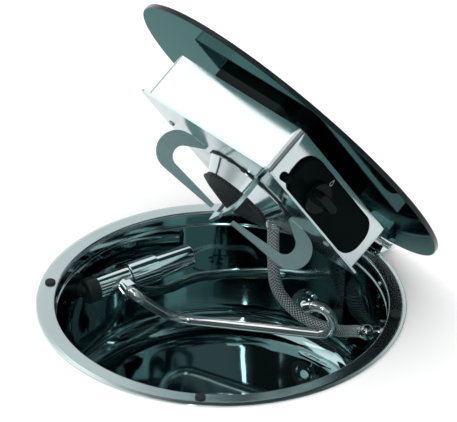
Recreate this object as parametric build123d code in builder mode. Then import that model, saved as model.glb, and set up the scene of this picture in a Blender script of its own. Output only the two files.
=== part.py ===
"""Round drop-in sink whose glass lid carries a gas hob on its underside.

Millimetres, +Z up. The origin is the centre of the rim on the worktop plane, +X points at the lid hinge,
-Y at the user and +Y at the tap. The pieces on the lid are drawn with the lid shut and turned open about
the hinge when they are written.
"""
import os
from math import atan2, cos, degrees, hypot, radians, sin, tan

from build123d import *

# Fits shared by several pieces
running_fit = 0.05
hole_slack = 0.3
moving_gap = 0.3

# Sink bowl, pressed from one steel sheet
sheet = 1.0
opening_radius = 189.0
rim_width = 21.0
rim_height = 3.4
rim_edge = 1.2
rim_edge_bend = 1.1
rim_slope = 5.0
rim_slope_bend = 5.0
lip_bend = 2.5
collar_depth = 12.0
collar_draft = 0.6
step_width = 1.9
step_drop = 2.0
step_outer_bend = 1.2
step_inner_bend = 2.4
wall_draft = 6.5
bowl_depth = 150.0
floor_bend = 32.0
floor_fall = 1.5
recess_radius = 38.0
recess_depth = 3.5
recess_bend = 2.0
waste_hole_radius = 24.0

# Worktop seat
seal_inset = 11.5
seal_width = 6.0
worktop_thickness = 30.0
clamp_azimuths = [50, 150, 230, 290]
clamp_reach = 20.0
clamp_height = 10.0
clamp_below_worktop = 8.0
clamp_arc = 7.0
clamp_screw_radius = 2.5
clamp_pad_radius = 6.0
clamp_pad_height = 2.0
clamp_tail = 14.0
clamp_head_flats = 9.0
clamp_head_height = 4.0

# Rim bumpers
bumper_azimuths = [47, 131, 224, 313]
bumper_radius = 6.0
bumper_margin = 0.2

# Waste
strainer_thickness = 1.8
strainer_margin = 3.0
strainer_wall = 3.0
strainer_neck = 12.0
strainer_hole_radius = 3.4
strainer_hole_circle = 12.5
strainer_holes = 8
waste_seal_thickness = 2.0
waste_wall = 3.0
waste_flange = 3.0
waste_flange_width = 10.0
waste_cup_depth = 22.0
waste_taper = 14.0
spigot_radius = 13.0
spigot_wall = 2.0
spigot_length = 15.0
spigot_thread = 1.0
waste_nut_flats = 36.0
waste_nut_height = 11.0

# Overflow in the wall
overflow_azimuth = 17.5
overflow_height = -101.0
rosette_radius = 18.0
rosette_thickness = 3.0
rosette_groove_inner = 9.5
rosette_groove_outer = 12.0
rosette_groove_depth = 1.4
overflow_neck_radius = 9.0
overflow_bore_radius = 6.0
overflow_neck_length = 16.0
overflow_nut_flats = 30.0
overflow_nut_height = 6.0

# Hinge
hinge_margin = 10.0
hinge_height = 6.5
lid_opening = 54.9
knuckle_radius = 3.6
hinge_pin_radius = 2.0
hinge_half_width = 39.0
leaf_half_width = 25.5
hinge_plate_thickness = 1.6
hinge_plate_inset = 14.0
hinge_plate_overhang = 5.0
leaf_thickness = 1.2
leaf_reach = 46.0
pin_head_radius = 3.0
pin_head_length = 1.2
rivet_inset = 10.75
rivet_y = 32.0
rivet_radius = 1.6
rivet_head_radius = 2.8
rivet_head_height = 0.9
rivet_tail = 0.8

# Glass lid
glass_overhang = 2.0
glass_thickness = 6.0
glass_edge = 1.2

# Hob body under the lid
hob_x = 3.5
box_length = 219.0
box_width = 216.0
box_height = 57.5
box_bend = 9.0
box_sheet = 1.0
spacer_height = 12.0
spacer_length = 106.0
spacer_width = 20.0
spacer_bend = 3.0
spacer_inset = 18.0
spacer_screw_y = 40.0
spacer_screw_radius = 2.5
spacer_screw_depth = 7.0
spacer_head_radius = 4.5
spacer_head_height = 3.0
plate_thickness = 2.5
plate_lip_x = 7.5
plate_lip_y = 5.0
plate_bend = 10.0
plate_screw_x = 52.0
plate_screw_edge = 8.0
plate_screw_radius = 2.0
plate_screw_depth = 8.0
plate_head_radius = 4.0
plate_head_height = 1.8
bracket_length = 14.0
bracket_depth = 13.0
bracket_height = 10.0

# Burner, with heights measured away from the cooktop plate
burner_hole_radius = 44.0
gasket_radius = 55.0
gasket_thickness = 1.6
cup_flange_radius = 54.0
cup_flange_thickness = 1.2
cup_foot_radius = 52.5
cup_top_radius = 42.0
cup_top = 20.0
cup_wall = 1.2
burner_flange_radius = 50.0
burner_flange_thickness = 2.0
burner_trunk_radius = 38.0
burner_stem_radius = 14.0
burner_stem_height = 28.0
burner_bore_radius = 7.0
port_ring_radius = 43.0
port_ring_height = 3.6
port_ring_bore = 30.0
port_count = 48
port_width = 1.6
port_depth = 2.4
cap_radius = 44.5
cap_edge = 1.6
cap_shoulder_radius = 36.0
cap_shoulder_height = 5.0
cap_nose_radius = 7.0
cap_height = 13.0
mixing_tube_radius = 9.0
injector_gap = 4.0
injector_length = 16.0
injector_flats = 12.0
injector_tip_radius = 2.5
injector_tip_length = 3.0
holder_thickness = 2.0
holder_width = 26.0
holder_drop = 8.0

# Gas controls in the side wall of the hob
knob_offset = 31.0
knob_z = -43.0
valve_length = 28.0
valve_depth = 30.0
valve_height = 24.0
valve_port_setback = 16.0
stem_radius = 4.0
stem_seat = 18.0
stem_grip = 12.0
wall_hole_radius = 6.0
knob_travel = 2.5
knob_skirt_radius = 18.0
knob_skirt = 4.0
knob_grip = 16.0
knob_grip_width = 11.0
knob_grip_margin = 1.0
knob_edge = 1.2
collar_ring_radius = 8.5
collar_ring_thickness = 2.0
pipe_radius = 3.5
pipe_bend = 13.0
burner_pipe_inset = 14.0
burner_pipe_run = 22.5
supply_pipe_inset = 35.0

# Control fascia
fascia_offset = 2.5
fascia_length = 162.0
fascia_height = 50.0
fascia_corner = 22.0
fascia_thickness = 5.0
fascia_edge = 1.2
fascia_gap = 0.8

# Spark igniter
button_inset = 29.0
button_z = -54.0
button_radius = 5.5
button_stand = 6.0
button_length = 16.0
button_travel = 3.0
igniter_radius = 6.6
igniter_length = 32.0

# Spark electrode and thermocouple beside the burner
probe_circle = 62.0
electrode_azimuth = 70.0
electrode_radius = 2.5
electrode_reach = 14.0
spark_wire_radius = 0.8
spark_wire_reach = 21.0
thermocouple_azimuth = 20.0
thermocouple_radius = 2.0
thermocouple_reach = 19.0
probe_collar_radius = 5.0
probe_collar_height = 2.0
probe_depth = 14.0

# Pan supports, drawn as distance from the burner axis and height away from the plate
support_thickness = 4.0
support_height = 48.5
support_tip_radius = 14.0
support_tip_depth = 5.0
support_bend_x = 84.5
support_bend_radius = 23.5
support_inner_x = 74.5
support_inner_radius = 12.5
support_root_inner = 61.0
support_root_outer = 81.0
support_root_step = 2.4
support_outer_foot = 16.0
support_inner_foot = 50.0
support_azimuths = {
    "pan_support_back_right": 45,
    "pan_support_back_left": 135,
    "pan_support_front_left": 225,
    "pan_support_front_right": 315,
}

# Tap on the back wall
tap_height = -40.0
tap_foot_azimuth = 106.37
tap_foot_stand = 18.5
tap_end_azimuth = 63.43
tap_end_stand = 19.8
tap_collar_radius = 15.0
tap_collar_back = 24.0
tap_neck_setback = 18.0
tap_collar_front = -9.0
tap_collar_edge = 3.0
tap_flange_radius = 9.0
tap_flange = 4.0
tap_neck_radius = 8.0
tap_neck_length = 26.0
tap_nut_flats = 27.0
tap_nut_height = 8.0
tail_radius = 6.5
tail_length = 20.0
spindle_radius = 7.0
spindle_end = 112.0
sleeve_radius = 13.5
sleeve_end = 35.0
sleeve_edge = 1.0
handle_gap = 0.5
handle_radius = 16.5
handle_waist = 72.0
handle_grip_radius = 14.3
handle_edge = 2.5

# Spout
spout_along = 22.0
boss_radius = 8.2
boss_reach = 15.5
spout_nut_flats = 17.5
spout_nut_height = 12.0
spout_radius = 6.0
spout_seat = 2.0
elbow_reach = 41.0
elbow_bend = 8.5
spout_corner_azimuth = 72.45
spout_corner_stand = 23.7
spout_corner_height = -118.0
spout_corner_bend = 30.0
spout_rise_azimuth = -4.1
spout_rise_stand = 43.3
spout_rise_height = -95.0
curl_radius = 18.5
curl_angle = 195.0
nozzle_radius = 6.8
nozzle_length = 10.0
nozzle_edge = 0.8
nozzle_bore_radius = 4.6
nozzle_bore_depth = 6.0

# Braided gas hose, with the lid open. It drops from its elbow on the hob to points chosen by hand
hose_radius = 7.0
hose_drop = 60.0
hose_later_points = [
    (128, 53, -67),
    (150, 28, -101),
    (166, -15, -101),
    (162, -49, -80),
    (143.7, -82.3, -56.7),
]
ferrule_radius = 8.6
ferrule_length = 12.0
wall_ferrule_length = 8.0
wall_elbow_arm = 10.0
elbow_ball_radius = 9.5
elbow_neck_radius = 7.0
elbow_arm_radius = 7.4
elbow_arm = 14.0
lid_elbow_stand = 10.1
lid_elbow_y = 52.0
lid_elbow_height = 13.1
lid_elbow_flange_radius = 11.0
lid_elbow_flange = 2.5
lid_elbow_inside = 8.0
gland_flange_radius = 14.0
gland_flange = 4.0
gland_neck_length = 14.0
gland_nut_flats = 24.0
gland_nut_height = 6.0
gas_tail_radius = 5.0
gas_tail_length = 22.0

# Places that follow from the sizes above
rim_radius = opening_radius + rim_width
seal_radius = rim_radius - seal_inset
glass_radius = rim_radius + glass_overhang
hinge_x = glass_radius + hinge_margin
hinge_plate_start = rim_radius - hinge_plate_inset
hinge_plate_end = rim_radius + hinge_plate_overhang
leaf_start = hinge_x - leaf_reach
rivet_x = rim_radius - rivet_inset
wall_top = collar_depth + step_drop
collar_radius = opening_radius - collar_draft
wall_top_radius = collar_radius - step_width
wall_foot_radius = wall_top_radius - wall_draft
wall_lean = wall_draft / (bowl_depth - wall_top)
wall_outward = sheet * hypot(1, wall_lean)
straight_bottom = bowl_depth - floor_bend
recess_floor = bowl_depth + floor_fall + recess_depth
glass_bottom = hinge_height
box_top = glass_bottom - spacer_height
box_ceiling = box_top - box_sheet
plate_top = box_top - box_height
plate_face = plate_top - plate_thickness
box_front = -box_width / 2
box_inner_front = box_front + box_sheet
box_end = hob_x + box_length / 2
box_start = hob_x - box_length / 2
burner_pipe_x = box_start + burner_pipe_inset
supply_pipe_x = box_end - supply_pipe_inset
button_x = box_start + button_inset
fascia_x = hob_x + fascia_offset
knob_x = fascia_x - knob_offset
fascia_z = plate_top + fascia_gap + fascia_height / 2
fascia_face = box_front - fascia_thickness
knob_back = fascia_face - knob_travel - moving_gap
port_y = box_inner_front + valve_port_setback
hinge_point = Vector(hinge_x, 0, hinge_height)
hinge_axis = Axis(hinge_point, (0, 1, 0))


def wall_radius(height):
    """Inner radius of the bowl's leaning wall at a height."""
    return wall_top_radius + wall_lean * (height + wall_top)


def wall_point(azimuth, height, stand):
    """Point that stands a distance inside the bowl's wall."""
    radius = wall_radius(height) - stand
    return Vector(radius * cos(radians(azimuth)), radius * sin(radians(azimuth)), height)


def wall_plane(azimuth, height):
    """Plane on the inner wall whose normal points straight out of the bowl."""
    outward = Vector(cos(radians(azimuth)), sin(radians(azimuth)), 0)
    return Plane(
        origin=outward * wall_radius(height) + Vector(0, 0, height),
        x_dir=(-outward.Y, outward.X, 0),
        z_dir=outward,
    )


def radial_plane(azimuth):
    """Upright plane through the bowl's axis: x is the radius and y the height."""
    along = (cos(radians(azimuth)), sin(radians(azimuth)), 0)
    return Plane(origin=(0, 0, 0), x_dir=along, z_dir=(along[1], -along[0], 0))


def around(radius, azimuths):
    """Points on a circle about the bowl's axis."""
    return [(radius * cos(radians(azimuth)), radius * sin(radians(azimuth))) for azimuth in azimuths]


def mirrored(x, y):
    """Four points round the hob's middle."""
    return [(hob_x + side_x * x, side_y * y) for side_x in (-1, 1) for side_y in (-1, 1)]


def wall_cone(outward, mode):
    """The space inside the leaning wall, grown outward, as a cone."""
    with Locations((0, 0, -(wall_top + straight_bottom) / 2)):
        Cone(
            bottom_radius=wall_radius(-straight_bottom) + outward,
            top_radius=wall_radius(-wall_top) + outward,
            height=straight_bottom - wall_top,
            mode=mode,
        )


def rod(plane, radius, length, mode=Mode.ADD):
    """Round bar standing on a plane."""
    with BuildSketch(plane) as section:
        Circle(radius)
    extrude(section.sketch, amount=length, mode=mode)


def hexagon(plane, flats, length):
    """Hexagon bar standing on a plane, given its size across flats."""
    with BuildSketch(plane) as section:
        RegularPolygon(flats / 2, 6, major_radius=False)
    extrude(section.sketch, amount=length)


def lathe(plane, points, mode=Mode.ADD):
    """Closed outline of radius and height, turned about the plane's upright axis."""
    with BuildSketch(plane) as section:
        with BuildLine():
            Polyline(*points, close=True)
        make_face()
    revolve(section.sketch, axis=Axis(plane.origin, plane.y_dir), mode=mode)


def wall_nut(plane, flats, height, bore):
    """Hexagon nut against the outside of the bowl, cut to the wall."""
    hexagon(plane, flats, height + wall_outward)
    rod(plane, bore, height + wall_outward, Mode.SUBTRACT)
    wall_cone(wall_outward, Mode.SUBTRACT)


def thickened(points, bends, thickness):
    """Corner points and bend radii of the line that runs a thickness to the left of another line."""
    runs = [(Vector(*after) - Vector(*before)).normalized() for before, after in zip(points, points[1:])]
    lefts = [Vector(-run.Y, run.X) for run in runs]
    shifts = [lefts[0]]
    for left, next_left in zip(lefts, lefts[1:]):
        shifts.append((left + next_left) / (1 + left.dot(next_left)))
    shifts.append(lefts[-1])
    corners = [Vector(*point) + shift * thickness for point, shift in zip(points, shifts)]
    turns = [run.cross(next_run).Z for run, next_run in zip(runs, runs[1:])]
    radii = [bend - thickness if turn > 0 else bend + thickness for bend, turn in zip(bends, turns)]
    return corners, radii


overflow_plane = wall_plane(overflow_azimuth, overflow_height)
tap_foot = wall_point(tap_foot_azimuth, tap_height, tap_foot_stand)
tap_end = wall_point(tap_end_azimuth, tap_height, tap_end_stand)
tap_direction = (tap_end - tap_foot).normalized()
tap_length = (tap_end - tap_foot).length
tap_plane = Plane(origin=tap_foot, x_dir=(0, 0, 1), z_dir=tap_direction)
tap_neck_point = tap_foot - tap_direction * tap_neck_setback
tap_wall_plane = wall_plane(degrees(atan2(tap_neck_point.Y, tap_neck_point.X)), tap_foot.Z)
tap_foot_length = wall_radius(tap_foot.Z) - hypot(tap_neck_point.X, tap_neck_point.Y)
spout_direction = tap_direction.rotate(Axis.Z, -90)
spout_corner = wall_point(spout_corner_azimuth, spout_corner_height, spout_corner_stand)
spout_rise = wall_point(spout_rise_azimuth, spout_rise_height, spout_rise_stand)
spout_origin = tap_foot + tap_direction * spout_along
spout_plane = Plane(origin=spout_origin, x_dir=tap_direction, z_dir=spout_direction)

# The two swivel elbows that the hose hangs between, one in the hob's end and one in the bowl's wall
hose_end = Vector(*hose_later_points[-1])
hose_leaving = (hose_end - Vector(*hose_later_points[-2])).normalized()
fitting_reach = elbow_arm + ferrule_length
gland_ball = hose_end + hose_leaving * (wall_elbow_arm + wall_ferrule_length)
gland_outlet_plane = Plane(origin=gland_ball, z_dir=-hose_leaving)
gland_plane = wall_plane(degrees(atan2(gland_ball.Y, gland_ball.X)), gland_ball.Z)
gland_neck_inside = wall_radius(gland_ball.Z) - hypot(gland_ball.X, gland_ball.Y)
lid_outlet = Vector(0, 0, -1).rotate(Axis.Y, -lid_opening)
lid_ball = Vector(box_end + lid_elbow_stand, lid_elbow_y, plate_top + lid_elbow_height)
hose_start_shut = lid_ball + lid_outlet * fitting_reach
hose_start = hinge_point + (hose_start_shut - hinge_point).rotate(Axis.Y, lid_opening)
lid_outlet_plane = Plane(origin=lid_ball, x_dir=(0, 1, 0), z_dir=lid_outlet)
lid_neck_start = box_end - box_sheet - lid_elbow_inside
lid_neck_plane = Plane(origin=(lid_neck_start, lid_ball.Y, lid_ball.Z), x_dir=(0, 1, 0), z_dir=(1, 0, 0))

# Sink bowl: rim, collar, step, leaning wall, floor and waste recess pressed from one sheet
bowl_section = [
    (rim_radius, 0),
    (rim_radius, rim_edge),
    (rim_radius - rim_slope, rim_height),
    (opening_radius, rim_height),
    (collar_radius, -collar_depth),
    (wall_top_radius, -wall_top),
    (wall_foot_radius, -bowl_depth),
    (recess_radius + recess_bend, -bowl_depth - floor_fall),
    (recess_radius, -recess_floor),
    (waste_hole_radius, -recess_floor),
]
bowl_bends = [
    rim_edge_bend,
    rim_slope_bend,
    lip_bend,
    step_outer_bend,
    step_inner_bend,
    floor_bend,
    recess_bend,
    recess_bend,
]
outside_section, outside_bends = thickened(bowl_section, bowl_bends, sheet)
with BuildPart() as sink_bowl:
    with BuildSketch(Plane.XZ):
        with BuildLine():
            bowl_inside = FilletPolyline(*bowl_section, radius=bowl_bends)
            bowl_outside = FilletPolyline(*outside_section, radius=outside_bends)
            Line(bowl_inside @ 0, bowl_outside @ 0)
            Line(bowl_inside @ 1, bowl_outside @ 1)
        make_face()
    revolve(axis=Axis.Z)
    for hole_plane, neck_radius in [
        (overflow_plane, overflow_neck_radius),
        (tap_wall_plane, tap_neck_radius),
        (gland_plane, elbow_neck_radius),
    ]:
        rod(hole_plane.offset(-neck_radius), neck_radius + hole_slack, 2 * neck_radius, Mode.SUBTRACT)
    with Locations((rivet_x, rivet_y, rim_height), (rivet_x, -rivet_y, rim_height)):
        Hole(rivet_radius, depth=2 * sheet)

# Rim seal: flat ring under the flange, on the worktop
with BuildPart() as rim_seal:
    with BuildSketch(Plane.XY):
        Circle(seal_radius)
        Circle(seal_radius - seal_width, mode=Mode.SUBTRACT)
    extrude(amount=rim_height - sheet)

# Rim bumpers: rubber buttons on the flange that the shut glass comes down on
bumper_circle = opening_radius + lip_bend + bumper_radius + bumper_margin
bumper_height = hinge_height - rim_height - moving_gap
with BuildPart() as rim_bumpers:
    with BuildSketch(Plane.XY.offset(rim_height)):
        with Locations(*around(bumper_circle, bumper_azimuths)):
            Circle(bumper_radius)
    extrude(amount=bumper_height)
    fillet(rim_bumpers.edges().group_by(Axis.Z)[-1], radius=bumper_height / 2)

# Clamp brackets: lugs welded to the outside of the wall, each with a screw that grips the worktop
clamp_top = -worktop_thickness - clamp_below_worktop
clamp_bottom = clamp_top - clamp_height
clamp_outer = wall_radius(clamp_top) + wall_outward + clamp_reach
clamp_circle = clamp_outer - clamp_reach / 2
clamp_points = around(clamp_circle, clamp_azimuths)
clamp_section = [
    (wall_radius(clamp_top) + wall_outward, clamp_top),
    (clamp_outer, clamp_top),
    (clamp_outer, clamp_bottom),
    (wall_radius(clamp_bottom) + wall_outward, clamp_bottom),
]
with BuildPart() as clamp_brackets:
    for azimuth in clamp_azimuths:
        with BuildSketch(radial_plane(azimuth - clamp_arc / 2)):
            with BuildLine():
                Polyline(*clamp_section, close=True)
            make_face()
        revolve(axis=Axis.Z, revolution_arc=clamp_arc)
    with BuildSketch(Plane.XY.offset(clamp_bottom)):
        with Locations(*clamp_points):
            Circle(clamp_screw_radius + running_fit)
    extrude(amount=clamp_height, mode=Mode.SUBTRACT)

# Clamp screws: pad, shank and hexagon head on one upright line
clamp_pad_bottom = -worktop_thickness - clamp_pad_height
with BuildPart() as clamp_screws:
    with BuildSketch(Plane.XY.offset(clamp_pad_bottom)):
        with Locations(*clamp_points):
            Circle(clamp_pad_radius)
    extrude(amount=clamp_pad_height)
    with BuildSketch(Plane.XY.offset(clamp_bottom - clamp_tail)):
        with Locations(*clamp_points):
            Circle(clamp_screw_radius)
    extrude(amount=clamp_pad_bottom - clamp_bottom + clamp_tail)
    with BuildSketch(Plane.XY.offset(clamp_bottom - clamp_tail - clamp_head_height)):
        with Locations(*clamp_points):
            RegularPolygon(clamp_head_flats / 2, 6, major_radius=False)
    extrude(amount=clamp_head_height)

# Waste strainer: pierced plate with a rim in the recess and a neck through the floor
strainer_radius = recess_radius - strainer_margin
neck_radius = waste_hole_radius - hole_slack
with BuildPart() as waste_strainer:
    rod(Plane.XY.offset(-recess_floor), strainer_radius, strainer_thickness)
    rod(Plane.XY.offset(-recess_floor - strainer_neck), neck_radius, strainer_neck)
    rod(
        Plane.XY.offset(-recess_floor - strainer_neck),
        neck_radius - strainer_wall,
        strainer_neck,
        Mode.SUBTRACT,
    )
    with BuildSketch(Plane.XY.offset(-recess_floor)):
        Circle(strainer_hole_radius)
        with PolarLocations(strainer_hole_circle, strainer_holes):
            Circle(strainer_hole_radius)
    extrude(amount=strainer_thickness, mode=Mode.SUBTRACT)
    strainer_edge = waste_strainer.edges().group_by(Axis.Z)[-1].sort_by(SortBy.LENGTH)[-1]
    fillet(strainer_edge, radius=strainer_thickness / 2)

# Waste seal: rubber ring under the floor
floor_underside = -recess_floor - sheet
waste_flange_radius = waste_hole_radius + waste_flange_width
with BuildPart() as waste_seal:
    with BuildSketch(Plane.XY.offset(floor_underside - waste_seal_thickness)):
        Circle(waste_flange_radius)
        Circle(waste_hole_radius + hole_slack, mode=Mode.SUBTRACT)
    extrude(amount=waste_seal_thickness)

# Waste body: flanged cup that narrows to a spigot
waste_flange_top = floor_underside - waste_seal_thickness
cup_radius = waste_hole_radius + waste_wall
cup_bottom = waste_flange_top - waste_cup_depth
spigot_top = cup_bottom - waste_taper
thread_radius = spigot_radius + spigot_thread
thread_bottom = spigot_top - waste_nut_height
spigot_bottom = thread_bottom - spigot_length
waste_bore = neck_radius + running_fit
waste_section = [
    (waste_bore, waste_flange_top),
    (waste_flange_radius, waste_flange_top),
    (waste_flange_radius, waste_flange_top - waste_flange),
    (cup_radius, waste_flange_top - waste_flange),
    (cup_radius, cup_bottom),
    (thread_radius, spigot_top),
    (thread_radius, thread_bottom),
    (spigot_radius, thread_bottom),
    (spigot_radius, spigot_bottom),
    (spigot_radius - spigot_wall, spigot_bottom),
    (spigot_radius - spigot_wall, spigot_top),
    (waste_bore, cup_bottom),
]
with BuildPart() as waste_body:
    lathe(Plane.XZ, waste_section)

# Waste nut: hexagon union nut on the spigot
with BuildPart() as waste_nut:
    hexagon(Plane.XY.offset(thread_bottom), waste_nut_flats, waste_nut_height)
    rod(Plane.XY.offset(thread_bottom), thread_radius + running_fit, waste_nut_height, Mode.SUBTRACT)

# Overflow rosette: round cover with a ring groove, seated on the wall, with a bored neck through it
with BuildPart() as overflow_rosette:
    rod(overflow_plane.offset(-rosette_thickness), rosette_radius, 2 * rosette_thickness)
    wall_cone(0, Mode.INTERSECT)
    with BuildSketch(overflow_plane.offset(-rosette_thickness)):
        Circle(rosette_groove_outer)
        Circle(rosette_groove_inner, mode=Mode.SUBTRACT)
    extrude(amount=rosette_groove_depth, mode=Mode.SUBTRACT)
    rod(
        overflow_plane.offset(-rosette_groove_depth),
        overflow_neck_radius,
        rosette_groove_depth + overflow_neck_length,
    )
    rod(
        overflow_plane.offset(-rosette_thickness),
        overflow_bore_radius,
        rosette_thickness + overflow_neck_length,
        Mode.SUBTRACT,
    )

# Overflow nut outside the wall
with BuildPart() as overflow_nut:
    wall_nut(overflow_plane, overflow_nut_flats, overflow_nut_height, overflow_neck_radius + running_fit)

# Gas elbow in the wall: ball with an arm towards the hose, a flange on the wall and a neck through it
with BuildPart() as gas_elbow:
    rod(gland_plane.offset(-gland_flange), gland_flange_radius, 2 * gland_flange)
    wall_cone(0, Mode.INTERSECT)
    with Locations(gland_outlet_plane):
        Sphere(elbow_ball_radius)
    rod(gland_plane.offset(-gland_neck_inside), elbow_neck_radius, gland_neck_inside + gland_neck_length)
    rod(gland_outlet_plane, elbow_arm_radius, wall_elbow_arm)

# Gas elbow nut outside the wall
with BuildPart() as gas_elbow_nut:
    wall_nut(gland_plane, gland_nut_flats, gland_nut_height, elbow_neck_radius + running_fit)

# Gas tail: pipe stub that the supply is joined to
with BuildPart() as gas_tail:
    rod(gland_plane.offset(gland_neck_length), gas_tail_radius, gas_tail_length)

# Hose: straight runs joined by arcs as large as the runs allow
hose_points = [hose_start, hose_start - Vector(0, 0, hose_drop)]
hose_points += [Vector(*point) for point in hose_later_points]
hose_bends = []
for before, corner, after in zip(hose_points, hose_points[1:], hose_points[2:]):
    shorter_run = min((corner - before).length, (after - corner).length)
    half_turn = radians((corner - before).get_angle(after - corner) / 2)
    hose_bends.append(0.45 * shorter_run / tan(half_turn))
print("hose bend radii", [round(bend, 1) for bend in hose_bends])
with BuildPart() as gas_hose:
    with BuildLine() as hose_line:
        FilletPolyline(*hose_points, radius=hose_bends)
    with BuildSketch(Plane(origin=hose_points[0], z_dir=hose_points[1] - hose_points[0])):
        Circle(hose_radius)
    sweep()
print("hose length", round(sum(edge.length for edge in hose_line.edges()), 1))

# Ferrules: crimped sleeves at the hose's two ends
with BuildPart() as wall_ferrule:
    rod(gland_outlet_plane.offset(wall_elbow_arm), ferrule_radius, wall_ferrule_length)
    chamfer(wall_ferrule.edges().filter_by(GeomType.CIRCLE), length=ferrule_radius - hose_radius)
with BuildPart() as lid_ferrule:
    rod(lid_outlet_plane.offset(elbow_arm), ferrule_radius, ferrule_length)
    chamfer(lid_ferrule.edges().filter_by(GeomType.CIRCLE), length=ferrule_radius - hose_radius)

# Hinge base: plate on the flange with a knuckle at each end
knuckle_length = hinge_half_width - leaf_half_width - moving_gap
hinge_plate_top = rim_height + hinge_plate_thickness
with BuildPart() as hinge_base:
    with BuildSketch(Plane.XY.offset(rim_height)):
        with Locations(((hinge_plate_start + hinge_plate_end) / 2, 0)):
            Rectangle(hinge_plate_end - hinge_plate_start, 2 * hinge_half_width)
        with Locations(
            ((hinge_plate_end + hinge_x) / 2, hinge_half_width - knuckle_length / 2),
            ((hinge_plate_end + hinge_x) / 2, knuckle_length / 2 - hinge_half_width),
        ):
            Rectangle(hinge_x - hinge_plate_end, knuckle_length)
    extrude(amount=hinge_plate_thickness)
    for knuckle_start in [-hinge_half_width, hinge_half_width - knuckle_length]:
        knuckle_plane = Plane(origin=(hinge_x, knuckle_start, hinge_height), x_dir=(1, 0, 0), z_dir=(0, 1, 0))
        rod(knuckle_plane, knuckle_radius, knuckle_length)
        rod(knuckle_plane, hinge_pin_radius, knuckle_length, Mode.SUBTRACT)
    with Locations((rivet_x, rivet_y, hinge_plate_top), (rivet_x, -rivet_y, hinge_plate_top)):
        Hole(rivet_radius, depth=hinge_plate_thickness)

# Hinge rivets through the base plate and the flange
with BuildPart() as hinge_rivets:
    for rivet_start, radius, length in [
        (hinge_plate_top, rivet_head_radius, rivet_head_height),
        (rim_height - sheet, rivet_radius, sheet + hinge_plate_thickness),
        (rim_height - sheet - rivet_tail, rivet_head_radius, rivet_tail),
    ]:
        with BuildSketch(Plane.XY.offset(rivet_start)):
            with Locations((rivet_x, rivet_y), (rivet_x, -rivet_y)):
                Circle(radius)
        extrude(amount=length)

# Hinge pin with a cap at each end
hinge_pin_plane = Plane(origin=(hinge_x, -hinge_half_width, hinge_height), x_dir=(1, 0, 0), z_dir=(0, 1, 0))
with BuildPart() as hinge_pin:
    rod(hinge_pin_plane, hinge_pin_radius, 2 * hinge_half_width)
    rod(hinge_pin_plane.offset(-pin_head_length), pin_head_radius, pin_head_length)
    rod(hinge_pin_plane.offset(2 * hinge_half_width), pin_head_radius, pin_head_length)

# Hinge leaf: plate bonded under the glass, with the middle knuckle
leaf_plane = Plane(origin=(hinge_x, -leaf_half_width, hinge_height), x_dir=(1, 0, 0), z_dir=(0, 1, 0))
with BuildPart() as hinge_leaf:
    with BuildSketch(Plane.XY.offset(hinge_height - leaf_thickness)):
        with Locations(((leaf_start + hinge_x) / 2, 0)):
            Rectangle(hinge_x - leaf_start, 2 * leaf_half_width)
    extrude(amount=leaf_thickness)
    rod(leaf_plane, knuckle_radius, 2 * leaf_half_width)
    rod(leaf_plane, hinge_pin_radius + running_fit, 2 * leaf_half_width, Mode.SUBTRACT)

# Glass lid: toughened disc with a ground edge
with BuildPart() as glass_lid:
    rod(Plane.XY.offset(glass_bottom), glass_radius, glass_thickness)
    chamfer(glass_lid.edges(), length=glass_edge)

# Spacer bars that hold the hob off the glass, with two screws up into each
spacer_x = box_length / 2 - spacer_inset
spacer_points = mirrored(spacer_x, spacer_screw_y)
with BuildPart() as lid_spacers:
    with BuildSketch(Plane.XY.offset(box_top)):
        with Locations((hob_x - spacer_x, 0), (hob_x + spacer_x, 0)):
            RectangleRounded(spacer_width, spacer_length, spacer_bend)
    extrude(amount=spacer_height)
    with BuildSketch(Plane.XY.offset(box_top)):
        with Locations(*spacer_points):
            Circle(spacer_screw_radius + running_fit)
    extrude(amount=spacer_screw_depth + moving_gap, mode=Mode.SUBTRACT)
with BuildPart() as spacer_screws:
    with BuildSketch(Plane.XY.offset(box_ceiling - spacer_head_height)):
        with Locations(*spacer_points):
            Circle(spacer_head_radius)
    extrude(amount=spacer_head_height)
    with BuildSketch(Plane.XY.offset(box_ceiling)):
        with Locations(*spacer_points):
            Circle(spacer_screw_radius)
    extrude(amount=box_sheet + spacer_screw_depth)

# Hob box: folded steel tray, open on the side that the cooktop plate covers
knob_plane = Plane(origin=(knob_x, box_inner_front, knob_z), x_dir=(1, 0, 0), z_dir=(0, 1, 0))
button_plane = Plane(origin=(button_x, box_inner_front, button_z), x_dir=(1, 0, 0), z_dir=(0, 1, 0))
with BuildPart() as hob_box:
    with BuildSketch(Plane.XY.offset(plate_top)):
        with Locations((hob_x, 0)):
            RectangleRounded(box_length, box_width, box_bend)
    extrude(amount=box_height)
    offset(amount=-box_sheet, openings=hob_box.faces().sort_by(Axis.Z)[0])
    with BuildSketch(Plane.XY.offset(box_ceiling)):
        with Locations(*spacer_points):
            Circle(spacer_screw_radius + hole_slack)
    extrude(amount=box_sheet, mode=Mode.SUBTRACT)
    rod(knob_plane, wall_hole_radius, -box_sheet, Mode.SUBTRACT)
    rod(button_plane, button_radius + 2 * running_fit, -box_sheet, Mode.SUBTRACT)
    rod(lid_neck_plane, elbow_neck_radius + hole_slack, box_end - lid_neck_start, Mode.SUBTRACT)

# Plate brackets: blocks welded inside the box that take the plate's screws
screw_y = box_width / 2 - plate_screw_edge
screw_points = mirrored(plate_screw_x, screw_y)
bracket_y = box_width / 2 - box_sheet - bracket_depth / 2
bracket_points = mirrored(plate_screw_x, bracket_y)
with BuildPart() as plate_brackets:
    with BuildSketch(Plane.XY.offset(plate_top)):
        with Locations(*bracket_points):
            Rectangle(bracket_length, bracket_depth)
    extrude(amount=bracket_height)
    with BuildSketch(Plane.XY.offset(plate_top)):
        with Locations(*screw_points):
            Circle(plate_screw_radius + running_fit)
    extrude(amount=plate_screw_depth + moving_gap, mode=Mode.SUBTRACT)

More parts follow.
